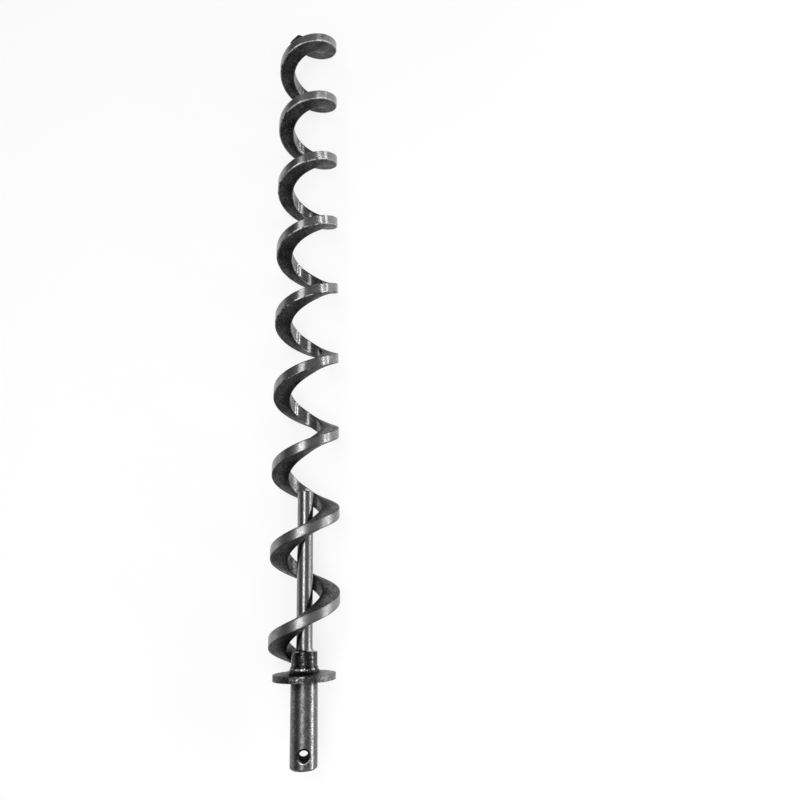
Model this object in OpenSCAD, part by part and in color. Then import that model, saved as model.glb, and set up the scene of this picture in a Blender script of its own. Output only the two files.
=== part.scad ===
// Shaftless feed auger: a flat bar wound edgewise into an open spiral, welded to a short
// drive shaft with a thrust flange, a stiffening rod in the spiral's first turns and a
// cross hole for the drive pin. All sizes are in millimetres.
// The auger lies on its side: its axis runs along Y, with the free tip of the spiral
// towards +Y and the drive pin's hole upright along Z. The origin is the middle of that hole.

/* [Spiral flight] */
// Outside diameter of the spiral
flight_d = 51; // [46:0.5:60]
// Diameter of the open space inside the spiral
flight_bore_d = 25.2; // [22.4:0.2:30]
// Rise of the spiral in one turn
flight_pitch = 61.4; // [48:0.2:80]
// Number of turns from the welded end to the tip
flight_turns = 9.13; // [4:0.01:12]
// Thickness of the bar at its outer rim, square to its flat faces
rim_t = 7.5; // [5:0.1:9]
// Thickness of the bar at its inner edge, where the edgewise bend has thickened it
root_t = 9.3; // [6:0.1:11]
// Width of the worn-off corners along the bar's four edges
edge_break = 0.7; // [0.3:0.1:1.2]
// Direction in which the bar leaves the flange, from +X round the axis towards the floor
flight_start_angle = 84; // [0:1:359]
// Width of the corner cut off the bar's tip, across the bar from its inner edge
tip_cut_w = 5; // [2:0.5:6]
// Length of the corner cut off the bar's tip, along its inner edge
tip_cut_len = 7; // [2:0.5:8]

/* [Drive shaft] */
// Diameter of the bearing length below the flange
shaft_d = 19; // [16:0.1:20.5]
// Length of the bearing length, from the flange's thrust face to the free end
shaft_len = 56; // [35:0.5:90]
// Reduction in diameter above the thrust face, where the flange is pushed on
seat_step = 0.4; // [0.2:0.1:1]
// Length of the shaft's stub above the flange
stub_len = 14.3; // [12:0.1:30]
// Chamfer round the free end of the shaft
end_chamfer = 1.2; // [0.5:0.1:2]
// Diameter of the cross hole for the drive pin
pin_hole_d = 6.8; // [5:0.1:8]
// Distance of the cross hole from the shaft's free end
pin_hole_end = 9.5; // [8:0.1:16]
// Width of the countersink at each mouth of the cross hole
countersink_d = 9.5; // [8.4:0.1:10.5]

/* [Thrust flange] */
// Diameter of the flange
flange_d = 44.4; // [36:0.2:46]
// Thickness of the flange
flange_t = 4.5; // [3:0.1:8]
// Rounding of the flange's two rims
flange_round = 0.5; // [0.2:0.1:1]

/* [Core rod] */
// Diameter of the stiffening rod inside the first turns
rod_d = 11.6; // [8:0.1:13]
// Length of rod that stands above the shaft's stub
rod_len = 113.5; // [60:0.5:200]
// Depth of the rod's socket in the stub
socket_depth = 12; // [6:0.5:18]
// Chamfer round the rod's free end
rod_chamfer = 0.5; // [0.2:0.1:1.5]

/* [Welds] */
// Height of the fillet weld between the flange and the stub
flange_weld_h = 4.4; // [2.5:0.1:6]
// Width of the fillet weld on the flange
flange_weld_w = 2.6; // [1.5:0.1:2.8]
// Leg of the fillet weld round the foot of the rod
rod_weld_leg = 1.7; // [0.8:0.1:2.4]
// Angle through which the bar's inner edge is welded to the stub
flight_weld_angle = 52; // [30:1:58]
// Gap left between each weld or fitted piece and the metal beside it
seat_gap = 0.04; // [0.02:0.01:0.1]

/* [Hidden] */
$fn = 96;

// Stations along the shaft, measured from the middle of the cross hole
shaft_end_z = -pin_hole_end;
thrust_z = shaft_end_z + shaft_len;
flange_top_z = thrust_z + flange_t;
stub_top_z = flange_top_z + stub_len;
rod_top_z = stub_top_z + rod_len;

shaft_r = shaft_d / 2;
stub_r = (shaft_d - seat_step) / 2;
rod_r = rod_d / 2;
flight_r = flight_d / 2;
bore_r = flight_bore_d / 2;

// The bar climbs by lead for each radian; its slope is steeper at the inner edge than at the rim
lead = flight_pitch / (2 * PI);
rim_slope = atan(lead / flight_r);
root_slope = atan(lead / bore_r);
mid_slope = atan(2 * lead / (flight_r + bore_r));

// Half thickness of the bar along the auger's axis, at the rim and at the inner edge
rim_half = rim_t / 2 / cos(rim_slope);
root_half = root_t / 2 / cos(root_slope);

// The bar is built in steps of ring_step degrees, with a flat step towards the floor
ring_step = 10;
flat_offset = ring_step / 2;
// Least distance from an end to its next ring, as a share of ring_step
end_clear = 0.3;
// Turn over which the square-cut ends run out into plain sections
cut_run = 60;

// Half thickness at any radius of the tapered bar
function bar_half(r) = root_half + (rim_half - root_half) * (r - bore_r) / (flight_r - bore_r);

// Section of the bar as [radius, height] corners, with its four edges broken. Each face has one
// more point, where the corner cut at the tip begins
function bar_section() = let (b = edge_break, cut_r = bore_r + tip_cut_w) [
    [bore_r, -root_half + b],
    [bore_r + b, -bar_half(bore_r + b)],
    [cut_r, -bar_half(cut_r)],
    [flight_r - b, -bar_half(flight_r - b)],
    [flight_r, -rim_half + b],
    [flight_r, rim_half - b],
    [flight_r - b, bar_half(flight_r - b)],
    [cut_r, bar_half(cut_r)],
    [bore_r + b, bar_half(bore_r + b)],
    [bore_r, root_half - b],
];

// Angle by which a corner of a square-cut end leads or lags the plain section
function cut_lead(r, up) = -up * sin(mid_slope) / (r * cos(mid_slope) + lead * sin(mid_slope)) * 180 / PI;

// The square-cut end of the bar sits on the flange, on whichever corner reaches lowest
bar_sit = -min([for (p = bar_section()) p[1] + flight_pitch * cut_lead(p[0], p[1]) / 360]);
flight_start_z = flange_top_z + seat_gap + bar_sit;

// Height of the bar's middle line at an angle
function bar_z(a) = flight_start_z + flight_pitch * (a - flight_start_angle) / 360;

// Point at a radius and angle, up above the bar's middle line at that angle
function bar_point(r, a, up) = [r * cos(a), r * sin(a), bar_z(a) + up];

// Angles of the rings, from one end of a sweep to the other
function ring_angles(a0, a1) = concat(
    [a0],
    [for (k = [ceil((a0 + flat_offset) / ring_step + end_clear)
        : floor((a1 + flat_offset) / ring_step - end_clear)]) k * ring_step - flat_offset],
    [a1]
);

// Share of the square cut that a ring still follows, 1 at an end and 0 past cut_run
function cut_share(a, a0, a1) = max(0, 1 - min(a - a0, a1 - a) / cut_run);

// Share of the corner cut that a ring follows, 1 at the tip and 0 past cut_run
function tip_share(a, a1) = max(0, 1 - (a1 - a) / cut_run);

// Angle by which the corner cut sets the tip's end back
function tip_lag(r) = tip_cut_len * max(0, 1 - (r - bore_r) / tip_cut_w) / r * 180 / PI;

// Joins rings of n points each into a closed skin. The inner wall, between the last point of
// a ring and its first, is split the other way, so it doesn't dip inwards at a square cut. Both
// ends are closed by strips of triangles from one half of the section to the other
module ring_skin(rings) {
    n = len(rings[0]);
    last = len(rings) - 1;
    points = [for (ring = rings) for (p = ring) p];
    sides = [for (i = [0 : last - 1]) for (j = [0 : n - 1])
        let (a = i * n + j, b = i * n + (j + 1) % n)
        each j < n - 1 ? [[a, b, b + n], [a, b + n, a + n]] : [[a, b, a + n], [b, b + n, a + n]]];
    cap = [for (j = [0 : n / 2 - 2]) each [[j, j + 1, n - 2 - j], [j, n - 2 - j, n - 1 - j]]];
    start_cap = [for (t = cap) [t[2], t[1], t[0]]];
    end_cap = [for (t = cap) [for (j = t) last * n + j]];
    polyhedron(points, concat(sides, start_cap, end_cap));
}

// Lays a piece built upright on its side, tip towards +Y
module lay() {
    rotate([-90, 0, 0]) children();
}

// Flat bar wound on edge into an open right-hand spiral, sawn square at both ends, with the
// inner corner of its free end cut off
module spiral_flight() {
    a0 = flight_start_angle;
    a1 = a0 + 360 * flight_turns;
    rings = [for (a = ring_angles(a0, a1))
        let (share = cut_share(a, a0, a1), tip = tip_share(a, a1))
        [for (p = bar_section())
            bar_point(p[0], a + share * cut_lead(p[0], p[1]) - tip * tip_lag(p[0]), p[1])]];
    color([0.27, 0.27, 0.28]) lay() ring_skin(rings);
}

// Turned bar: bearing length, stub for the flange, rod socket and countersunk cross hole
module drive_shaft() {
    profile = [
        [0, shaft_end_z],
        [shaft_r - end_chamfer, shaft_end_z],
        [shaft_r, shaft_end_z + end_chamfer],
        [shaft_r, thrust_z],
        [stub_r, thrust_z + seat_step / 2],
        [stub_r, stub_top_z],
        [rod_r + seat_gap, stub_top_z],
        [rod_r + seat_gap, stub_top_z - socket_depth],
        [0, stub_top_z - socket_depth],
    ];
    color([0.36, 0.36, 0.37]) lay() difference() {
        rotate_extrude() polygon(profile);
        rotate([90, 0, 0]) cylinder(h = 2 * shaft_d, d = pin_hole_d, center = true);
        for (side = [0, 180])
            rotate([90, 0, side]) translate([0, 0, shaft_r - countersink_d / 2])
                cylinder(h = shaft_d, r1 = 0, r2 = shaft_d);
    }
}

// Disc that takes the auger's thrust, pushed on to the stub against the shaft's bevelled shoulder
module thrust_flange() {
    rim = flange_d / 2;
    bore = stub_r + seat_gap;
    // The bore's bevelled mouth runs parallel to the shoulder, seat_gap away from it
    mouth = shaft_r + seat_gap * sqrt(2);
    color([0.24, 0.24, 0.25]) lay() rotate_extrude() polygon([
        [bore, thrust_z + mouth - bore],
        [mouth, thrust_z],
        [rim - flange_round, thrust_z],
        for (a = [-75 : 15 : -15]) [rim, thrust_z] + flange_round * [cos(a) - 1, sin(a) + 1],
        [rim, thrust_z + flange_round],
        [rim, flange_top_z - flange_round],
        for (a = [15 : 15 : 75]) [rim, flange_top_z] + flange_round * [cos(a) - 1, sin(a) - 1],
        [rim - flange_round, flange_top_z],
        [bore, flange_top_z],
    ]);
}

// Rod that stands in the stub's socket and keeps the first turns of feed off the axis
module core_rod() {
    foot_z = stub_top_z - socket_depth;
    color([0.42, 0.42, 0.43]) lay() rotate_extrude() polygon([
        [0, foot_z],
        [rod_r, foot_z],
        [rod_r, rod_top_z - rod_chamfer],
        [rod_r - rod_chamfer, rod_top_z],
        [0, rod_top_z],
    ]);
}

// Weld along the bar's inner edge, from its sawn end up to the top of the stub
module flight_weld() {
    clear_of_cut = 4;
    steps = 8;
    least_bead = 1.5;
    below_stub_top = 0.4;
    a0 = flight_start_angle + clear_of_cut;
    inner = stub_r + seat_gap;
    // Half the angle of the widest flat on the bar's inner wall, which is at its square cut
    half_flat = max(ring_step / 2, cut_lead(bore_r, edge_break - root_half));
    outer = bore_r * cos(half_flat) - seat_gap;
    floor_z = flange_top_z + flange_weld_h + seat_gap;
    rings = [for (i = [0 : steps])
        let (
            a = a0 + flight_weld_angle * i / steps,
            swell = (1 + sin(180 * i / steps)) / 2,
            low = max(floor_z, bar_z(a) - root_half * swell),
            high = max(low + least_bead, min(stub_top_z - below_stub_top, bar_z(a) + root_half * swell))
        )
        [for (p = [[inner, low], [outer, low], [outer, high], [inner, high]])
            [p[0] * cos(a), p[0] * sin(a), p[1]]]];
    color([0.2, 0.2, 0.2]) lay() ring_skin(rings);
}

// Fillet weld all round between the flange and the stub
module flange_weld() {
    foot = stub_r + seat_gap;
    lip = 0.5;
    color([0.2, 0.2, 0.2]) lay() rotate_extrude() polygon([
        [foot, flange_top_z],
        [foot + flange_weld_w, flange_top_z],
        for (a = [75 : -15 : 0])
            [foot + flange_weld_w, flange_top_z + flange_weld_h]
                - [(flange_weld_w - lip) * cos(a), (flange_weld_h - lip / 2) * sin(a)],
        [foot, flange_top_z + flange_weld_h],
    ]);
}

// Small fillet weld round the foot of the rod
module rod_weld() {
    foot = rod_r + seat_gap;
    lip = 0.3;
    color([0.3, 0.3, 0.3]) lay() rotate_extrude() polygon([
        [foot, stub_top_z],
        [foot + rod_weld_leg, stub_top_z],
        for (a = [75 : -15 : 15])
            [foot + rod_weld_leg, stub_top_z + rod_weld_leg]
                - (rod_weld_leg - lip) * [cos(a), sin(a)],
        [foot + lip / 2, stub_top_z + rod_weld_leg],
        [foot, stub_top_z + rod_weld_leg],
    ]);
}

spiral_flight();
drive_shaft();
thrust_flange();
core_rod();
flight_weld();
flange_weld();
rod_weld();
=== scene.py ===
import math

import bpy
import numpy as np
from mathutils import Matrix, Vector, noise


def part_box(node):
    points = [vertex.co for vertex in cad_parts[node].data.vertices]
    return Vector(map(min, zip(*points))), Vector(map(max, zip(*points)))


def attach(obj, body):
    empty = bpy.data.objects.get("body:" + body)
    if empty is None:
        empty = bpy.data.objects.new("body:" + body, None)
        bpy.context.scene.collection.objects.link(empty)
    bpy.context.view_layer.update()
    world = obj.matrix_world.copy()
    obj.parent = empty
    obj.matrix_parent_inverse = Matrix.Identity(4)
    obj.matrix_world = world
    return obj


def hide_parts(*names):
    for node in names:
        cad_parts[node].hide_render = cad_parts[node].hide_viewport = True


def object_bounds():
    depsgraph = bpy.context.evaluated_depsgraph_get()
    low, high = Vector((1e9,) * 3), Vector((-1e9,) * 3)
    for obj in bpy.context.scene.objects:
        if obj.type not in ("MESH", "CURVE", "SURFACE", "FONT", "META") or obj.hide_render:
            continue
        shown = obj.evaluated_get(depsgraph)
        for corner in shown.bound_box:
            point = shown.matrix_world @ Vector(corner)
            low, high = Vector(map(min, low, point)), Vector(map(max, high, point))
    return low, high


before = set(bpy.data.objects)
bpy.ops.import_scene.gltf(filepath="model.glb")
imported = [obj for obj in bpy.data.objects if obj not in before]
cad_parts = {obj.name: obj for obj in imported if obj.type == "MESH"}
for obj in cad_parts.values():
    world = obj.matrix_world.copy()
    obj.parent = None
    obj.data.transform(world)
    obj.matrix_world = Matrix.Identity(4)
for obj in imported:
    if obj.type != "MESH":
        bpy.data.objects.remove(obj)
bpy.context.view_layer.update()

# ---------------------------------------------------------------------------------------------
# Drive shaft: drawn steel bar, turned down at the top for the flange and bored for the rod.
# A countersunk cross hole near its free end takes the drive pin. The bar is satin where it runs
# in its bush, and dark with soot where the flange and the spiral were welded to it. Just below the
# flange this dark band is partly a painted shadow of the flange.
# ---------------------------------------------------------------------------------------------


def new_group(name, inputs, outputs):
    """A shader node group with the given sockets, and its input and output nodes."""
    group = bpy.data.node_groups.new(name, "ShaderNodeTree")
    for label, kind, value in inputs:
        made = group.interface.new_socket(label, in_out="INPUT", socket_type="NodeSocket" + kind)
        if value is not None:
            made.default_value = value
    for label, kind in outputs:
        group.interface.new_socket(label, in_out="OUTPUT", socket_type="NodeSocket" + kind)
    return group, group.nodes.new("NodeGroupInput"), group.nodes.new("NodeGroupOutput")


def put(tree, kind, values=(), **settings):
    """A node with its settings, and its inputs filled from values or linked from other sockets."""
    made = tree.nodes.new("ShaderNode" + kind)
    for name, setting in settings.items():
        setattr(made, name, setting)
    for name, value in dict(values).items():
        if isinstance(value, bpy.types.NodeSocket):
            tree.links.new(value, made.inputs[name])
        else:
            made.inputs[name].default_value = value
    return made


def calc(tree, operation, a, b=0.0, clamp=False):
    """One Math node, and its result."""
    return put(tree, "Math", {0: a, 1: b}, operation=operation, use_clamp=clamp).outputs[0]


def ramp(tree, value, low, high, to_low=0.0, to_high=1.0):
    """Value carried from low..high to to_low..to_high, and held at the two ends."""
    ranged = put(
        tree,
        "MapRange",
        {"Value": value, "From Min": low, "From Max": high, "To Min": to_low, "To Max": to_high},
        interpolation_type="SMOOTHSTEP",
    )
    return ranged.outputs["Result"]


def distance(tree, split, first, second):
    """How far a point is from an axis, from the two parts of a split vector that cross it."""
    pair = put(tree, "CombineXYZ", {"X": split.outputs[first], "Y": split.outputs[second]})
    return put(tree, "VectorMath", {0: pair.outputs[0]}, operation="LENGTH").outputs["Value"]


def blend_colours(tree, share, a, b):
    """Colour that goes from a to b as share goes from 0 to 1."""
    mixed = tree.nodes.new("ShaderNodeMix")
    mixed.data_type = "RGBA"
    # Its colour sockets share their names with those of other kinds, so they go by number
    for socket, value in ((mixed.inputs[0], share), (mixed.inputs[6], a), (mixed.inputs[7], b)):
        if isinstance(value, bpy.types.NodeSocket):
            tree.links.new(value, socket)
        else:
            socket.default_value = value
    return mixed.outputs[2]


def grey(level):
    """Neutral colour of one level."""
    return (level, level, level, 1.0)


def new_material(name):
    """An empty material, its tree and its Principled shader, already joined to the output."""
    material = bpy.data.materials.new(name)
    material.use_nodes = True
    tree = material.node_tree
    return material, tree, tree.nodes["Principled BSDF"]


def emboss(tree, shader, height, strength, distance):
    """Fine relief on a surface, from a height that changes over it."""
    relief = put(tree, "Bump", {"Height": height, "Strength": strength, "Distance": distance})
    tree.links.new(relief.outputs["Normal"], shader.inputs["Normal"])


# Steel skin: broad blotches, fine speckle and pits, as hot-rolled and drawn bar shows them
skin, skin_in, skin_out = new_group(
    "steel_skin",
    [
        ("Place", "Vector", None),
        ("Blotch Size", "Float", 0.01),
        ("Speckle Size", "Float", 0.0006),
        ("Dark", "Color", grey(0.03)),
        ("Light", "Color", grey(0.08)),
        ("Sparkle", "Float", 0.3),
        ("Smoothest", "Float", 0.3),
        ("Roughest", "Float", 0.5),
    ],
    [("Color", "Color"), ("Roughness", "Float"), ("Height", "Float")],
)
blotch = put(
    skin,
    "TexNoise",
    {
        "Vector": skin_in.outputs["Place"],
        "Scale": calc(skin, "DIVIDE", 1.0, skin_in.outputs["Blotch Size"]),
        "Detail": 4.0,
        "Roughness": 0.6,
    },
).outputs["Fac"]
speckle = put(
    skin,
    "TexNoise",
    {
        "Vector": skin_in.outputs["Place"],
        "Scale": calc(skin, "DIVIDE", 1.0, skin_in.outputs["Speckle Size"]),
        "Detail": 3.0,
        "Roughness": 0.7,
    },
).outputs["Fac"]
sparks = calc(
    skin, "MULTIPLY", ramp(skin, speckle, 0.58, 0.74), skin_in.outputs["Sparkle"], clamp=True
)
tone = calc(
    skin,
    "ADD",
    ramp(skin, blotch, 0.3, 0.7, 0.0, 0.6),
    ramp(skin, speckle, 0.36, 0.64, -0.3, 0.5),
    clamp=True,
)
skin_colour = blend_colours(skin, tone, skin_in.outputs["Dark"], skin_in.outputs["Light"])
skin.links.new(blend_colours(skin, sparks, skin_colour, grey(0.4)), skin_out.inputs["Color"])
skin.links.new(
    ramp(skin, tone, 0.0, 1.0, skin_in.outputs["Roughest"], skin_in.outputs["Smoothest"]),
    skin_out.inputs["Roughness"],
)
skin.links.new(
    calc(skin, "ADD", calc(skin, "MULTIPLY", speckle, 0.7), calc(skin, "MULTIPLY", blotch, 0.3)),
    skin_out.inputs["Height"],
)

thrust_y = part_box("thrust_flange")[0].y
shaft_end_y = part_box("drive_shaft")[0].y
pin_hole_r = 0.0034
countersink_r = 0.00475
end_chamfer = 0.0012
soot_and_shadow_depth = 0.0075

shaft_steel, tree, steel = new_material("shaft_steel_satin")
place = put(tree, "TexCoord").outputs["Object"]
along = put(tree, "SeparateXYZ", {0: place})
drawn = put(
    tree,
    "Group",
    {
        "Place": put(tree, "Mapping", {"Vector": place, "Scale": (1.0, 0.6, 1.0)}).outputs[0],
        "Blotch Size": 0.0035,
        "Speckle Size": 0.0008,
        "Dark": grey(0.085),
        "Light": grey(0.205),
        "Sparkle": 0.8,
        "Smoothest": 0.26,
        "Roughest": 0.3,
    },
    node_tree=skin,
)
darkened = put(
    tree,
    "Group",
    {
        "Place": place,
        "Blotch Size": 0.003,
        "Speckle Size": 0.001,
        "Dark": grey(0.003),
        "Light": grey(0.1),
        "Sparkle": 0.9,
        "Smoothest": 0.12,
        "Roughest": 0.22,
    },
    node_tree=skin,
)
# Soot from the welding runs down from the flange in an uneven edge, deepest on one side. Just
# below the flange the dark band is partly a painted shadow of the flange.
heat_noise = put(tree, "TexNoise", {"Vector": place, "Scale": 190.0, "Detail": 5.0}).outputs["Fac"]
heat_line = calc(
    tree,
    "ADD",
    along.outputs["Y"],
    calc(
        tree,
        "ADD",
        calc(tree, "MULTIPLY", heat_noise, 0.011),
        ramp(tree, along.outputs["X"], -0.004, 0.006, 0.0, -0.0025),
    ),
)
soot_and_flange_shadow = ramp(tree, heat_line, thrust_y - 0.2 * soot_and_shadow_depth, thrust_y + 0.55 * soot_and_shadow_depth)
end_dark = ramp(
    tree,
    along.outputs["Y"],
    shaft_end_y + 0.3 * end_chamfer,
    shaft_end_y + end_chamfer,
    1.0,
    0.0,
)
from_hole = distance(tree, along, "X", "Y")
# The lower lip of the hole's mouth is bright clean-cut steel, painted brighter on that side as a
# painted highlight
lip_steel_and_highlight = calc(
    tree,
    "MULTIPLY",
    calc(
        tree,
        "MULTIPLY",
        ramp(tree, from_hole, countersink_r - 0.0005, countersink_r - 0.0002),
        ramp(tree, from_hole, countersink_r + 0.0001, countersink_r + 0.0004, 1.0, 0.0),
    ),
    ramp(tree, along.outputs["Y"], -0.0035, -0.001, 1.0, 0.0),
)
# The wall of the cross hole and its countersunk mouth are painted dark, as painted shade inside
# the hole
hole_wall_shade = ramp(tree, from_hole, pin_hole_r + 0.0002, pin_hole_r + 0.0005, 1.0, 0.0)
countersink_shade = calc(
    tree,
    "MULTIPLY",
    ramp(tree, from_hole, pin_hole_r + 0.0002, pin_hole_r + 0.0004),
    ramp(tree, from_hole, countersink_r - 0.0001, countersink_r + 0.0003, 1.0, 0.0),
)
turned = blend_colours(tree, soot_and_flange_shadow, drawn.outputs["Color"], darkened.outputs["Color"])
turned = blend_colours(tree, end_dark, turned, grey(0.008))
turned = blend_colours(tree, countersink_shade, turned, grey(0.035))
turned = blend_colours(tree, hole_wall_shade, turned, grey(0.012))
turned = blend_colours(tree, lip_steel_and_highlight, turned, grey(0.75))
tree.links.new(turned, steel.inputs["Base Color"])
satin = calc(
    tree,
    "ADD",
    calc(tree, "MULTIPLY", drawn.outputs["Roughness"], calc(tree, "SUBTRACT", 1.0, soot_and_flange_shadow)),
    calc(tree, "MULTIPLY", darkened.outputs["Roughness"], soot_and_flange_shadow),
)
satin = calc(tree, "ADD", satin, calc(tree, "MULTIPLY", hole_wall_shade, 0.6), clamp=True)
tree.links.new(satin, steel.inputs["Roughness"])
emboss(tree, steel, drawn.outputs["Height"], 0.1, 0.0001)
tree.links.new(calc(tree, "SUBTRACT", 1.0, hole_wall_shade), steel.inputs["Metallic"])
steel.inputs["Specular IOR Level"].default_value = 0.1

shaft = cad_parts["drive_shaft"]
shaft.data.materials[0] = shaft_steel

# ---------------------------------------------------------------------------------------------
# Thrust flange: a disc cut from plate, with a rough rim, pushed on to the stub and welded there.
# Its rim is dark and scaly, and scuffed bright where the disc has been knocked. One side of the
# rim is painted brighter as a painted reflection, and the top round the stub is partly painted
# shade.
# ---------------------------------------------------------------------------------------------


def lay(radius, angle, y):
    """Point at a radius and an angle round the auger's axis, at y along it."""
    return (radius * math.cos(angle), y, -radius * math.sin(angle))


def new_piece(name, points, faces, material, smooth_under=35):
    """A closed mesh piece, smooth apart from edges sharper than smooth_under degrees."""
    mesh = bpy.data.meshes.new(name)
    mesh.from_pydata(points, [], faces)
    mesh.validate()
    mesh.update()
    mesh.polygons.foreach_set("use_smooth", [True] * len(mesh.polygons))
    mesh.set_sharp_from_angle(angle=math.radians(smooth_under))
    piece = bpy.data.objects.new(name, mesh)
    bpy.context.scene.collection.objects.link(piece)
    mesh.materials.append(material)
    return piece


def ring_faces(rings, around, closed):
    """Quads between neighbouring rings of points. closed also joins the last ring to the first."""
    faces = []
    for i in range(rings if closed else rings - 1):
        for j in range(around):
            k = (j + 1) % around
            after = (i + 1) % rings
            faces.append(
                (i * around + j, i * around + k, after * around + k, after * around + j)
            )
    return faces


def wobble(x, y, z, size, depth):
    """Smooth noise at a point, with features of about size, between -depth and depth."""
    return depth * noise.noise(Vector((x, y, z)) / size)


shaft_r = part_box("drive_shaft")[1].x
flange_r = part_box("thrust_flange")[1].x
flange_top_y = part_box("thrust_flange")[1].y
flange_bore_r = 0.00934
mouth_gap = 0.0001
mouth_h = 0.0003
under_weld = 0.002
rim_round = 0.0005
flange_steps = 288
top_spans = 9
rim_spans = 8
round_spans = 4
rim_depth = 0.00012
cut_size = 0.0045
nick_size = 0.0013
dent_size = 0.0028
lift_size = 0.006


def rim_edge(degrees, centre_y):
    """Point on one of the rim's rounded edges, at an angle above level."""
    turn = math.radians(degrees)
    return (
        flange_r - rim_round + rim_round * math.cos(turn),
        centre_y + rim_round * math.sin(turn),
    )


# The section goes out along the top, down the rim, back underneath and up the bevelled mouth
disc_section = [(flange_bore_r, flange_top_y), (flange_bore_r + under_weld, flange_top_y)]
open_top = flange_r - rim_round - flange_bore_r - under_weld
for step in range(1, top_spans + 1):
    disc_section.append((flange_bore_r + under_weld + open_top * step / top_spans, flange_top_y))
for step in range(1, round_spans + 1):
    disc_section.append(rim_edge(90 - 90 / round_spans * step, flange_top_y - rim_round))
rim_drop = thrust_y - flange_top_y + 2 * rim_round
for step in range(1, rim_spans):
    disc_section.append((flange_r, flange_top_y - rim_round + rim_drop * step / rim_spans))
for step in range(round_spans + 1):
    disc_section.append(rim_edge(-90 / round_spans * step, thrust_y + rim_round))
disc_section.append((0.5 * (flange_r + shaft_r), thrust_y))
disc_section.append((shaft_r + mouth_gap, thrust_y))
disc_section.append((flange_bore_r, thrust_y + mouth_h))

points = []
for step in range(flange_steps):
    angle = 2 * math.pi * step / flange_steps
    for radius, y in disc_section:
        at = lay(radius, angle, y)
        outer = max(0.0, (radius - 0.8 * flange_r) / (0.2 * flange_r))
        cut = wobble(*at, cut_size, 1.6 * rim_depth) + wobble(*at, nick_size, 0.8 * rim_depth)
        dent = min(0.0, wobble(*at, dent_size, 5 * rim_depth) + 1.6 * rim_depth)
        lift = wobble(*at, lift_size, rim_depth) * outer
        points.append(lay(radius + outer * (cut + dent - rim_depth), angle, y + lift))
faces = [f[::-1] for f in ring_faces(flange_steps, len(disc_section), True)]

# Scuffs and painted glints: short bright patches, used as rubs that break through the scale, most
# of them on what stands proud, and as painted glints and highlights on the welds and the bar's
# edges
scuffs_and_glints, scuffs_in, scuffs_out = new_group(
    "scuffs_and_glints",
    [("Place", "Vector", None), ("Size", "Float", 0.004), ("Amount", "Float", 0.5)],
    [("Mask", "Float")],
)
patches = put(
    scuffs_and_glints,
    "TexNoise",
    {
        "Vector": scuffs_in.outputs["Place"],
        "Scale": calc(scuffs_and_glints, "DIVIDE", 1.0, scuffs_in.outputs["Size"]),
        "Detail": 5.0,
        "Roughness": 0.75,
        "Distortion": 0.6,
    },
).outputs["Fac"]
limit = calc(scuffs_and_glints, "SUBTRACT", 0.86, calc(scuffs_and_glints, "MULTIPLY", scuffs_in.outputs["Amount"], 0.4))
rubs = put(
    scuffs_and_glints,
    "MapRange",
    {"Value": patches, "From Min": limit, "From Max": calc(scuffs_and_glints, "ADD", limit, 0.09)},
)
scuffs_and_glints.links.new(rubs.outputs["Result"], scuffs_out.inputs["Mask"])

flange_steel, tree, steel = new_material("flange_steel_scaly")
place = put(tree, "TexCoord").outputs["Object"]
across = put(tree, "SeparateXYZ", {0: place})
scale = put(
    tree,
    "Group",
    {
        "Place": place,
        "Blotch Size": 0.003,
        "Speckle Size": 0.0011,
        "Dark": grey(0.01),
        "Light": grey(0.1),
        "Sparkle": 0.5,
        "Smoothest": 0.3,
        "Roughest": 0.5,
    },
    node_tree=skin,
)
# One side of the rim is painted brighter, as a painted reflection of the floor, and the knocks sit
# close together beside its middle
floor_reflection_side = calc(
    tree,
    "MULTIPLY",
    ramp(tree, across.outputs["X"], 0.3 * flange_r, 0.9 * flange_r),
    ramp(tree, scale.outputs["Height"], 0.4, 0.6, 0.35, 1.0),
)
knocked = calc(
    tree,
    "MULTIPLY",
    ramp(tree, across.outputs["X"], -0.55 * flange_r, -0.4 * flange_r),
    ramp(tree, across.outputs["X"], 0.0, 0.12 * flange_r, 1.0, 0.0),
)
knocks = put(
    tree,
    "Group",
    {
        "Place": place,
        "Size": 0.0026,
        "Amount": calc(tree, "ADD", calc(tree, "MULTIPLY", knocked, 0.3), 0.48),
    },
    node_tree=scuffs_and_glints,
)
plate = blend_colours(
    tree, calc(tree, "MULTIPLY", floor_reflection_side, 0.6), scale.outputs["Color"], grey(0.3)
)
# The weld's heat has blackened the top round the stub, and this dark ring is partly painted shade
# at the weld's foot
from_axis = distance(tree, across, "X", "Z")
heat_and_shade_ring = ramp(tree, from_axis, 0.6 * flange_r, 0.72 * flange_r, 1.0, 0.0)
plate = blend_colours(tree, heat_and_shade_ring, plate, grey(0.008))
plate = blend_colours(tree, knocks.outputs["Mask"], plate, grey(0.6))
tree.links.new(plate, steel.inputs["Base Color"])
rough = calc(
    tree,
    "SUBTRACT",
    scale.outputs["Roughness"],
    calc(tree, "MULTIPLY", knocks.outputs["Mask"], 0.15),
)
tree.links.new(rough, steel.inputs["Roughness"])
emboss(tree, steel, scale.outputs["Height"], 0.8, 0.0003)
steel.inputs["Metallic"].default_value = 1.0

flange = new_piece("thrust_flange_disc", points, faces, flange_steel)
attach(flange, "root")
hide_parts("thrust_flange")

# ---------------------------------------------------------------------------------------------
# Flange weld: one run of weld metal all round, from the flange's top up the side of the stub.
# It hollows between its two toes and carries the ripples that the welder left.
# ---------------------------------------------------------------------------------------------
weld_foot_r = flange_bore_r
weld_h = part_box("flange_weld")[1].y - flange_top_y
weld_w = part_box("flange_weld")[1].x - weld_foot_r
weld_steps = 360
ripples = 23
ripple_h = 0.00045
grit_size = 0.0008
grit_h = 0.00008
# How much narrower the run is at its upper toe, and the share of a ripple that goes each way
taper = 0.84
slant = 0.7
bead_points = 12


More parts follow.
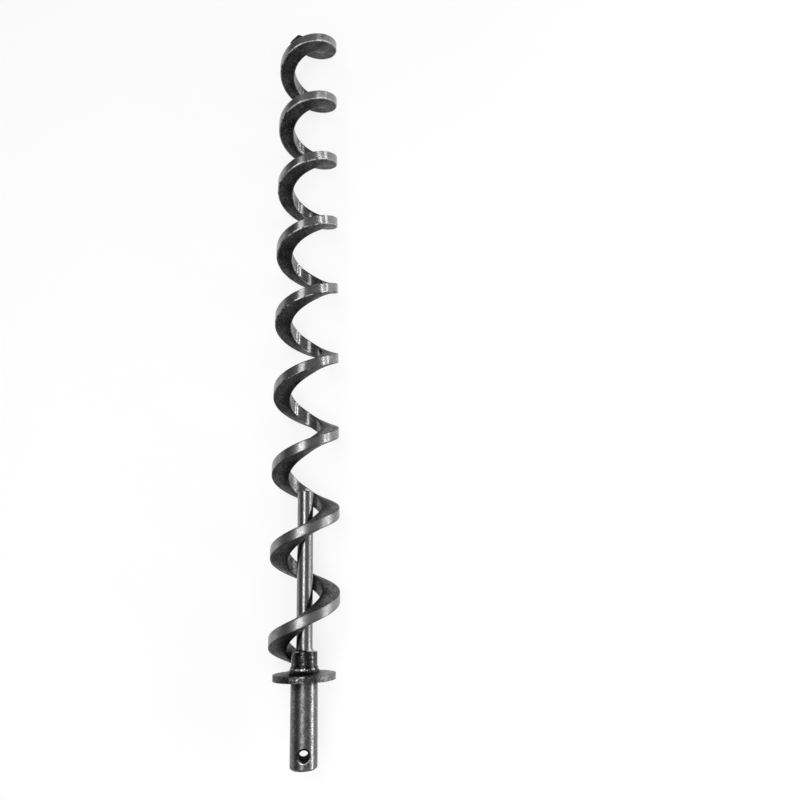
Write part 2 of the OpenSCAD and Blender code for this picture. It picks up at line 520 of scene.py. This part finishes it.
def ring_noise(angle, waves, seed):
    """Smooth noise round the auger's axis that meets itself after one turn."""
    return noise.noise(Vector((waves * math.cos(angle), waves * math.sin(angle), seed)))


def ripple_at(phase):
    """Height of a weld's ripples, round at 1 on their crests and sharp at 0 in their creases."""
    return abs(math.sin(phase)) ** 0.6


points = []
for step in range(weld_steps):
    angle = 2 * math.pi * step / weld_steps
    sweep = angle + 0.2 * ring_noise(angle, 3, 5.0)
    uneven = 1 + 0.6 * ring_noise(angle, 4, 9.0)
    scallop = uneven * ripple_at(sweep * ripples / 2)
    wide = 1 + 0.1 * ring_noise(angle, 5, 1.0)
    for k in range(bead_points):
        share = k / (bead_points - 1)
        turn = math.radians(90 * share)
        radius = weld_foot_r + weld_w * wide * (1 - taper * math.sin(turn))
        y = flange_top_y + weld_h * (1 - math.cos(turn))
        proud = ripple_h * scallop * math.sin(math.pi * share)
        at = lay(radius, angle, y)
        grit = wobble(*at, grit_size, grit_h) * math.sin(math.pi * share)
        points.append(lay(radius + slant * (proud + grit), angle, y + slant * (proud + grit)))
    points.append(lay(weld_foot_r, angle, flange_top_y + weld_h))
    points.append(lay(weld_foot_r, angle, flange_top_y))
faces = [f[::-1] for f in ring_faces(weld_steps, bead_points + 2, True)]

weld_metal, tree, steel = new_material("weld_metal_dark")
place = put(tree, "TexCoord").outputs["Object"]
crust = put(
    tree,
    "Group",
    {
        "Place": place,
        "Blotch Size": 0.002,
        "Speckle Size": 0.0009,
        "Dark": grey(0.004),
        "Light": grey(0.07),
        "Sparkle": 0.6,
        "Smoothest": 0.2,
        "Roughest": 0.4,
    },
    node_tree=skin,
)
height = put(tree, "SeparateXYZ", {0: place}).outputs["Y"]
# The run is painted black at its foot on the flange, as painted shade, and carries painted glints
# along its crown
lit_crown = ramp(tree, height, flange_top_y + 0.2 * weld_h, flange_top_y + 0.7 * weld_h)
painted_glints = put(
    tree,
    "Group",
    {"Place": place, "Size": 0.0025, "Amount": ramp(tree, lit_crown, 0.0, 1.0, 0.2, 0.9)},
    node_tree=scuffs_and_glints,
)
bead_colour = blend_colours(tree, lit_crown, grey(0.006), crust.outputs["Color"])
bead_colour = blend_colours(tree, painted_glints.outputs["Mask"], bead_colour, grey(0.6))
# The upper toe of the run is a painted dark line against the stub, painted shade in the crease
# there
crease_shade = calc(
    tree,
    "MULTIPLY",
    ramp(tree, height, flange_top_y + 0.78 * weld_h, flange_top_y + 0.95 * weld_h),
    ramp(tree, height, flange_top_y + weld_h, flange_top_y + 1.1 * weld_h, 1.0, 0.0),
)
tree.links.new(blend_colours(tree, crease_shade, bead_colour, grey(0.006)), steel.inputs["Base Color"])
tree.links.new(crust.outputs["Roughness"], steel.inputs["Roughness"])
emboss(tree, steel, crust.outputs["Height"], 0.7, 0.0002)
steel.inputs["Metallic"].default_value = 1.0

bead = new_piece("flange_weld_bead", points, faces, weld_metal, 60)
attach(bead, "root")
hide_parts("flange_weld")

# ---------------------------------------------------------------------------------------------
# Core rod: bright drawn rod that stands in the stub's socket, inside the first two turns.
# It is satin, with fine drawing lines along its length.
# ---------------------------------------------------------------------------------------------
rod_steel, tree, steel = new_material("rod_steel_drawn")
place = put(tree, "TexCoord").outputs["Object"]
rod_skin = put(
    tree,
    "Group",
    {
        "Place": put(tree, "Mapping", {"Vector": place, "Scale": (1.0, 0.4, 1.0)}).outputs[0],
        "Blotch Size": 0.005,
        "Speckle Size": 0.0009,
        "Dark": grey(0.15),
        "Light": grey(0.28),
        "Sparkle": 0.12,
        "Smoothest": 0.16,
        "Roughest": 0.28,
    },
    node_tree=skin,
)
tree.links.new(rod_skin.outputs["Color"], steel.inputs["Base Color"])
tree.links.new(rod_skin.outputs["Roughness"], steel.inputs["Roughness"])
emboss(tree, steel, rod_skin.outputs["Height"], 0.5, 0.00006)
steel.inputs["Metallic"].default_value = 1.0
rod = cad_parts["core_rod"]
rod.data.materials[0] = rod_steel

# ---------------------------------------------------------------------------------------------
# Rod weld: a small run of weld round the foot of the rod, on top of the stub. It is the same
# dark metal as the run on the flange, and holds the rod in its socket.
# ---------------------------------------------------------------------------------------------
stub_top_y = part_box("drive_shaft")[1].y
rod_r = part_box("core_rod")[1].x
rod_weld_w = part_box("rod_weld")[1].x - rod_r
rod_weld_steps = 180
rod_ripples = 18
rod_ripple_h = 0.0001
rod_taper = 0.9
rod_bead_points = 8

points = []
for step in range(rod_weld_steps):
    angle = 2 * math.pi * step / rod_weld_steps
    scallop = ripple_at(angle * rod_ripples / 2 + 0.5 * math.sin(angle))
    for k in range(rod_bead_points):
        share = k / (rod_bead_points - 1)
        turn = math.radians(90 * share)
        grit = wobble(math.cos(angle), math.sin(angle), share, 0.3, grit_h)
        proud = (rod_ripple_h * scallop + grit) * math.sin(math.pi * share)
        radius = rod_r + rod_weld_w * (1 - rod_taper * math.sin(turn)) + slant * proud
        y = stub_top_y + rod_weld_w * (1 - math.cos(turn)) + slant * proud
        points.append(lay(radius, angle, y))
    points.append(lay(rod_r, angle, stub_top_y + rod_weld_w))
    points.append(lay(rod_r, angle, stub_top_y))
faces = [f[::-1] for f in ring_faces(rod_weld_steps, rod_bead_points + 2, True)]
rod_bead = new_piece("rod_weld_bead", points, faces, weld_metal, 60)
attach(rod_bead, "root")
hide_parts("rod_weld")

# ---------------------------------------------------------------------------------------------
# Spiral flight: one flat bar of hot-rolled steel wound on edge into an open right-hand spiral.
# Bending has thickened and wrinkled its inner edge and thinned its rim, which the feed tube has
# rubbed smooth. Both ends are sawn square, and the tip's inner corner is cut off.
# ---------------------------------------------------------------------------------------------
flight_r = 0.0255
bore_r = 0.0126
pitch = 0.0614
turns = 9.13
rim_t = 0.0075
root_t = 0.0093
edge_break = 0.0007
corner_round = 0.0008
corner_steps = 5
seat_gap = 0.00004
start_angle = math.radians(84)
cut_run = math.radians(60)
tip_cut_w = 0.005
tip_cut_len = 0.007
dark_end_run = math.radians(24)
steps_per_turn = 144
mid_r = 0.019
# Waves that the bending left, each with its size along the bar and its depth
fine_crimp = (0.0022, 0.00002)
broad_crimp = (0.006, 0.00008)
rim_roll = (0.012, 0.00005)
face_swell = (0.009, 0.00005)

lead = pitch / (2 * math.pi)
rim_half = rim_t / 2 / math.cos(math.atan(lead / flight_r))
root_half = root_t / 2 / math.cos(math.atan(lead / bore_r))
mid_slope = math.atan(2 * lead / (flight_r + bore_r))
end_angle = start_angle + 2 * math.pi * turns
# Points along the lower face, the rim, the upper face and the inner edge
pieces_per_side = [12, 7, 12, 8]


def bar_section():
    """Points round the bar as (radius, height), each with its rim, inner edge and corner masks."""
    corners = [
        (bore_r, -root_half),
        (flight_r, -rim_half),
        (flight_r, rim_half),
        (bore_r, root_half),
    ]
    section = []
    for i, corner in enumerate(corners):
        here = Vector(corner)
        before = (here - Vector(corners[i - 1])).normalized()
        after = (Vector(corners[(i + 1) % 4]) - here).normalized()
        start, end = here - corner_round * before, here + corner_round * after
        for step in range(corner_steps + 1):
            t = step / corner_steps
            at = (1 - t) ** 2 * start + 2 * t * (1 - t) * here + t**2 * end
            on_rim = (t if i == 1 else 1 - t) if i in (1, 2) else 0.0
            on_root = (1 - t if i == 0 else t) if i in (0, 3) else 0.0
            section.append((at.x, at.y, on_rim, on_root, math.sin(math.pi * (0.1 + 0.8 * t))))
        far = Vector(corners[(i + 1) % 4]) - corner_round * after
        for step in range(1, pieces_per_side[i]):
            at = end.lerp(far, step / pieces_per_side[i])
            section.append((at.x, at.y, float(i == 1), float(i == 3), 0.0))
    return section


def cut_lead(radius, height):
    """Angle by which a point of a square-cut end leads the plain section."""
    return -height * math.sin(mid_slope) / (
        radius * math.cos(mid_slope) + lead * math.sin(mid_slope)
    )


def tip_lag(radius):
    """Angle by which the corner cut sets the tip's end back."""
    return tip_cut_len * max(0.0, 1 - (radius - bore_r) / tip_cut_w) / radius


def end_faces(closing, last):
    """Faces that close a run at both ends. Its last ring starts at point number last."""
    return [face[::-1] for face in closing] + [tuple(last + j for j in face) for face in closing]


section = bar_section()
# The broken inner corner of the sawn start is what sits on the flange
corner_r = bore_r + edge_break
half_there = root_half + (rim_half - root_half) * (corner_r - bore_r) / (flight_r - bore_r)
start_y = flange_top_y + seat_gap + half_there + lead * cut_lead(corner_r, half_there)

rings = round(steps_per_turn * turns) + 1
points, masks = [], []
for i in range(rings):
    angle = start_angle + (end_angle - start_angle) * i / (rings - 1)
    share = max(0.0, 1 - min(angle - start_angle, end_angle - angle) / cut_run)
    tip_share = max(0.0, 1 - (end_angle - angle) / cut_run)
    darkened = min(1.0, max(0.0, 2 - 2 * (end_angle - angle) / dark_end_run))
    length = angle * mid_r
    for radius, height, on_rim, on_root, on_corner in section:
        crimp = on_root * (
            wobble(length, 0.5 * height, 1.0, *fine_crimp)
            + wobble(length, 0.3 * height, 2.0, *broad_crimp)
        )
        roll = on_rim * wobble(length, 0.2 * height, 3.0, *rim_roll)
        swell = wobble(length, radius, 4.0, *face_swell) * (1 if height > 0 else -1)
        turn = angle + share * cut_lead(radius, height) - tip_share * tip_lag(radius)
        y = start_y + lead * (turn - start_angle) + height + swell
        points.append(lay(radius - crimp + roll, turn, y))
        masks.append((on_rim, on_root, on_corner, darkened))

around = len(section)
faces = ring_faces(rings, around, False)
bar_faces = len(faces)
# Each end is closed from the lower half of the section to the upper, then along the inner edge
last_mirrored = around - pieces_per_side[3]
closing = []
for j in range(last_mirrored // 2):
    closing.append((j, j + 1, last_mirrored - 1 - j, last_mirrored - j))
for j in range(last_mirrored, around - 1):
    closing.append((0, j, j + 1))
faces += end_faces(closing, (rings - 1) * around)

flight_steel, tree, steel = new_material("flight_steel_rolled")
place = put(tree, "TexCoord").outputs["Object"]
bar = put(tree, "Attribute", attribute_name="bar_masks")
masks_of = put(tree, "SeparateColor", {0: bar.outputs["Color"]})
on_rim, on_inner, on_corner = (masks_of.outputs[name] for name in ("Red", "Green", "Blue"))
# The faces are painted darker towards the bore, as painted shade where the turns crowd round the
# rod and the stub, and lighter towards the bar's outer part
on_bar = put(tree, "SeparateXYZ", {0: place})
lit_towards_rim = ramp(tree, distance(tree, on_bar, "X", "Z"), bore_r, 0.85 * flight_r)
# The face towards the tip, which pushes the feed along, is painted brighter than the other, as
# painted light where the lamps fall on it
facing = put(tree, "SeparateXYZ", {0: put(tree, "NewGeometry").outputs["Normal"]})
lit_facing = ramp(tree, facing.outputs["Y"], 0.2, 0.6)
painted_face_light = blend_colours(
    tree, lit_towards_rim, grey(0.032), blend_colours(tree, lit_facing, grey(0.085), grey(0.2))
)
# The welding's heat has darkened the faces of the first half turn
heated = ramp(tree, on_bar.outputs["Y"], flange_top_y, flange_top_y + 0.5 * pitch, 1.0, 0.0)
rolled = put(
    tree,
    "Group",
    {
        "Place": place,
        "Blotch Size": 0.012,
        "Speckle Size": 0.001,
        "Dark": blend_colours(tree, lit_towards_rim, grey(0.004), grey(0.01)),
        "Light": blend_colours(tree, heated, painted_face_light, grey(0.02)),
        "Sparkle": ramp(tree, lit_facing, 0.0, 1.0, 0.34, 0.8),
        "Smoothest": 0.4,
        "Roughest": 0.58,
    },
    node_tree=skin,
)
# The middle turns have run hardest against the tube, and shine most
dull = calc(
    tree,
    "MAXIMUM",
    ramp(tree, on_bar.outputs["Y"], 0.16, 0.26, 1.0, 0.0),
    ramp(tree, on_bar.outputs["Y"], 0.42, 0.52),
)
rubbed = put(
    tree,
    "Group",
    {
        "Place": place,
        "Blotch Size": 0.008,
        "Speckle Size": 0.001,
        "Dark": grey(0.17),
        "Light": grey(0.3),
        "Sparkle": ramp(tree, dull, 0.0, 1.0, 0.05, 0.16),
        "Smoothest": ramp(tree, dull, 0.0, 1.0, 0.19, 0.27),
        "Roughest": ramp(tree, dull, 0.0, 1.0, 0.22, 0.34),
    },
    node_tree=skin,
)
# The inner edge beside the rod is painted darker, as painted shade from the rod and the turns
# round it
rod_shade = ramp(tree, on_bar.outputs["Y"], 0.14, 0.21, 1.0, 0.0)
crimped = put(
    tree,
    "Group",
    {
        "Place": place,
        "Blotch Size": 0.004,
        "Speckle Size": 0.0012,
        "Dark": blend_colours(tree, rod_shade, grey(0.12), grey(0.02)),
        "Light": blend_colours(tree, rod_shade, grey(0.3), grey(0.13)),
        "Sparkle": 0.1,
        "Smoothest": ramp(tree, dull, 0.0, 1.0, 0.13, 0.25),
        "Roughest": ramp(tree, dull, 0.0, 1.0, 0.2, 0.34),
    },
    node_tree=skin,
)
colour = blend_colours(tree, on_rim, rolled.outputs["Color"], rubbed.outputs["Color"])
colour = blend_colours(tree, on_inner, colour, crimped.outputs["Color"])
# The four edges are scaly and dark in some places and worn to bright steel in others, more towards
# the tip; the bright lines are partly painted highlights on the rounded edges, and the dark ones
# partly painted shade
edge_wear_and_highlights = put(
    tree,
    "Group",
    {
        "Place": place,
        "Size": 0.005,
        "Amount": ramp(tree, on_bar.outputs["Y"], 0.1, 0.5, 0.6, 1.15),
    },
    node_tree=scuffs_and_glints,
)
edge_wear_and_light_colour = blend_colours(tree, edge_wear_and_highlights.outputs["Mask"], grey(0.02), grey(0.5))
corner_wear_and_light = calc(tree, "MULTIPLY", on_corner, ramp(tree, lit_towards_rim, 0.0, 1.0, 0.25, 0.8))
colour = blend_colours(tree, corner_wear_and_light, colour, edge_wear_and_light_colour)
# The sawn ends and the last part of the tip are painted dark, and the ends show the saw's lines.
# The dark part ends in an uneven edge
dark_end = calc(
    tree,
    "ADD",
    bar.outputs["Alpha"],
    ramp(tree, rolled.outputs["Height"], 0.35, 0.65, -0.35, 0.35),
)
dark_end = ramp(tree, dark_end, 0.3, 0.6)
saw_lines = put(
    tree,
    "TexWave",
    {"Vector": place, "Scale": 420.0, "Distortion": 1.5, "Detail": 2.0},
    bands_direction="Y",
).outputs["Fac"]
sawn = blend_colours(tree, saw_lines, grey(0.008), grey(0.03))
colour = blend_colours(tree, dark_end, colour, sawn)
tree.links.new(colour, steel.inputs["Base Color"])
on_edge = calc(tree, "ADD", on_rim, on_inner, clamp=True)
roughness = calc(
    tree,
    "ADD",
    calc(tree, "MULTIPLY", rolled.outputs["Roughness"], calc(tree, "SUBTRACT", 1.0, on_edge)),
    calc(
        tree,
        "ADD",
        calc(tree, "MULTIPLY", rubbed.outputs["Roughness"], on_rim),
        calc(tree, "MULTIPLY", crimped.outputs["Roughness"], on_inner),
    ),
)
roughness = calc(tree, "ADD", roughness, calc(tree, "MULTIPLY", dark_end, 0.3))
tree.links.new(roughness, steel.inputs["Roughness"])
relief = ramp(tree, on_edge, 0.0, 1.0, 0.7, 0.05)
emboss(tree, steel, rolled.outputs["Height"], relief, 0.00016)
tree.links.new(calc(tree, "SUBTRACT", 1.0, dark_end), steel.inputs["Metallic"])
steel.inputs["Specular IOR Level"].default_value = 0.1

flight = new_piece("spiral_flight_bar", points, faces, flight_steel, 50)
# Each face corner carries the masks: rim, inner edge, corner, and the darkened sawn ends and tip
corner_points = np.empty(len(flight.data.loops), dtype=np.int32)
flight.data.loops.foreach_get("vertex_index", corner_points)
corner_masks = np.array(masks, dtype=np.float32)[corner_points]
first_sawn = flight.data.polygons[bar_faces].loop_start
corner_masks[first_sawn:] = (0.0, 0.0, 0.0, 1.0)
attribute = flight.data.color_attributes.new("bar_masks", "FLOAT_COLOR", "CORNER")
attribute.data.foreach_set("color", corner_masks.ravel())
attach(flight, "root")
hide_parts("spiral_flight")

# ---------------------------------------------------------------------------------------------
# Flight weld: the run of weld metal that joins the inner edge of the bar's first part to the
# stub. It swells towards its middle, and hollows between its toes under the welder's ripples.
# ---------------------------------------------------------------------------------------------
foot_weld_from = start_angle + math.radians(4)
foot_weld_sweep = math.radians(52)
foot_weld_outer_r = 0.01241
foot_weld_steps = 160
foot_weld_across = 9
foot_ripples = 15
hollow = 0.0005
least_h = 0.0015
below_stub_top = 0.0004

points = []
for i in range(foot_weld_steps + 1):
    along_weld = i / foot_weld_steps
    angle = foot_weld_from + foot_weld_sweep * along_weld
    bar_y = start_y + lead * (angle - start_angle)
    swell = (1 + math.sin(math.pi * along_weld)) / 2
    low = max(flange_top_y + weld_h + seat_gap, bar_y - root_half * swell)
    high = max(low + least_h, min(stub_top_y - below_stub_top, bar_y + root_half * swell))
    scallop = ripple_at(math.pi * foot_ripples * along_weld)
    for side, edge in ((-1, low), (1, high)):
        for k in range(foot_weld_across):
            share = k / (foot_weld_across - 1) if side < 0 else 1 - k / (foot_weld_across - 1)
            radius = flange_bore_r + (foot_weld_outer_r - flange_bore_r) * share
            dip = hollow * (1 - 0.4 * scallop) * math.sin(math.pi * share)
            points.append(lay(radius, angle, edge - side * dip))
around = 2 * foot_weld_across
faces = ring_faces(foot_weld_steps + 1, around, False)
closing = [(k, k + 1, around - 2 - k, around - 1 - k) for k in range(foot_weld_across - 1)]
faces += end_faces(closing, foot_weld_steps * around)
foot_bead = new_piece("flight_weld_bead", points, faces, weld_metal, 60)
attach(foot_bead, "root")
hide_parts("flight_weld")

# ---------------------------------------------------------------------------------------------
# Studio: a plain pale floor that the auger lies on, soft strip lamps along both its sides and
# across its shaft end, and the camera above it. The floor is white to the eye and in polished
# metal, and takes a shadow.
# ---------------------------------------------------------------------------------------------
floor_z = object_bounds()[0].z
floor_half = 3.0
floor_glow = 0.78
floor_mesh = bpy.data.meshes.new("floor")
floor_mesh.from_pydata(
    [
        (-floor_half, -floor_half, floor_z),
        (floor_half, -floor_half, floor_z),
        (floor_half, floor_half, floor_z),
        (-floor_half, floor_half, floor_z),
    ],
    [],
    [(0, 1, 2, 3)],
)
floor = bpy.data.objects.new("floor", floor_mesh)
bpy.context.scene.collection.objects.link(floor)
pale = bpy.data.materials.new("floor_pale")
pale.use_nodes = True
tree = pale.node_tree
tree.nodes.clear()
matt = put(tree, "BsdfDiffuse", {"Color": grey(0.9)})
glow = put(tree, "Emission", {"Color": grey(1.0), "Strength": 1.0})
seen = put(tree, "LightPath")
share = calc(
    tree,
    "MULTIPLY",
    calc(
        tree,
        "MAXIMUM",
        seen.outputs["Is Camera Ray"],
        calc(tree, "MAXIMUM", seen.outputs["Is Glossy Ray"], seen.outputs["Is Transmission Ray"]),
    ),
    floor_glow,
)
both = put(tree, "MixShader", {0: share, 1: matt.outputs[0], 2: glow.outputs[0]})
put(tree, "OutputMaterial", {"Surface": both.outputs[0]})
floor_mesh.materials.append(pale)

world = bpy.data.worlds.new("studio")
bpy.context.scene.world = world
world.use_nodes = True
tree = world.node_tree
sky = tree.nodes["Background"]
towards = put(tree, "SeparateXYZ", {0: put(tree, "TexCoord").outputs["Generated"]})
# The room is dark on the left, lighter on the right and middling overhead
sideways = blend_colours(
    tree, ramp(tree, towards.outputs["X"], -0.7, 0.5), grey(0.14), grey(0.46)
)
overhead = blend_colours(tree, ramp(tree, towards.outputs["Z"], 0.3, 1.0), sideways, grey(0.33))
# Low on the left it is pale, so that the rims show no hard edge where the floor ends
left_low = calc(
    tree,
    "MULTIPLY",
    ramp(tree, towards.outputs["Z"], 0.0, 0.4, 1.0, 0.0),
    ramp(tree, towards.outputs["X"], -0.95, -0.55, 1.0, 0.0),
)
tree.links.new(blend_colours(tree, left_low, overhead, grey(0.45)), sky.inputs["Color"])
sky.inputs["Strength"].default_value = 1.0


def stand(thing, at, side, top, back):
    """Puts a lamp or the camera at a point, with its own X, Y and Z along three directions."""
    turned = Matrix((side, top, back)).transposed().to_4x4()
    thing.matrix_world = Matrix.Translation(at) @ turned


def add_strip(name, near, far, width, radiance):
    """A soft strip lamp from one point to another, turned towards the auger's axis."""
    near, far = Vector(near), Vector(far)
    centre, run = (near + far) / 2, far - near
    along = run.normalized()
    back = centre - Vector((0, centre.y, 0))
    back = (back - back.dot(along) * along).normalized()
    data = bpy.data.lights.new(name, "AREA")
    data.shape = "RECTANGLE"
    data.size, data.size_y = width, run.length
    data.energy = radiance * math.pi * width * run.length
    lamp = bpy.data.objects.new(name, data)
    bpy.context.scene.collection.objects.link(lamp)
    stand(lamp, centre, along.cross(back), along, back)
    lamp.visible_camera = False


add_strip("lamp_left_shaft", (-0.15, -0.35, 0.58), (-0.15, 0.02, 0.58), 0.3, 1.8)
add_strip("lamp_left_rod", (-0.17, 0.02, 0.575), (-0.15, 0.36, 0.58), 0.24, 4.6)
add_strip("lamp_left_far", (-0.13, 0.36, 0.585), (-0.165, 0.47, 0.573), 0.14, 3.8)
add_strip("lamp_left_tip", (-0.165, 0.47, 0.573), (-0.29, 0.86, 0.53), 0.2, 2.3)
add_strip("lamp_right_shaft", (0.67, -0.4, 0.19), (0.67, 0.0, 0.19), 0.15, 12.2)
add_strip("lamp_right_rod", (0.67, 0.0, 0.22), (0.68, 0.26, 0.19), 0.4, 1.9)
add_strip("lamp_right_far", (0.67, 0.26, 0.21), (0.41, 1.2, 0.6), 0.05, 9.0)
add_strip("lamp_low", (0.8, 0.2, 0.04), (0.74, 1.2, 0.3), 0.08, 6.5)
add_strip("lamp_front", (-0.8, -1.1, 1.5), (0.8, -1.1, 1.5), 1.0, 2.6)

# The camera hangs over the shaft's end of the auger and looks along towards the tip
camera_place = Vector((-0.00065, 0.10324, 0.50917))
camera_aim = Vector((0.0745, 0.2517, 0.0))
camera_roll = math.radians(1.9)
camera_data = bpy.data.cameras.new("camera")
camera_data.lens = 30.04
camera_data.sensor_width = 36.0
camera_data.clip_start, camera_data.clip_end = 0.01, 20.0
camera = bpy.data.objects.new("camera", camera_data)
bpy.context.scene.collection.objects.link(camera)
ahead = (camera_aim - camera_place).normalized()
side = ahead.cross(Vector((0, 1, 0))).normalized()
turned = Matrix.Rotation(camera_roll, 3, ahead)
side, top = turned @ side, turned @ side.cross(ahead)
stand(camera, camera_place, side, top, -ahead)
bpy.context.scene.camera = camera
bpy.context.scene.view_settings.view_transform = "Standard"
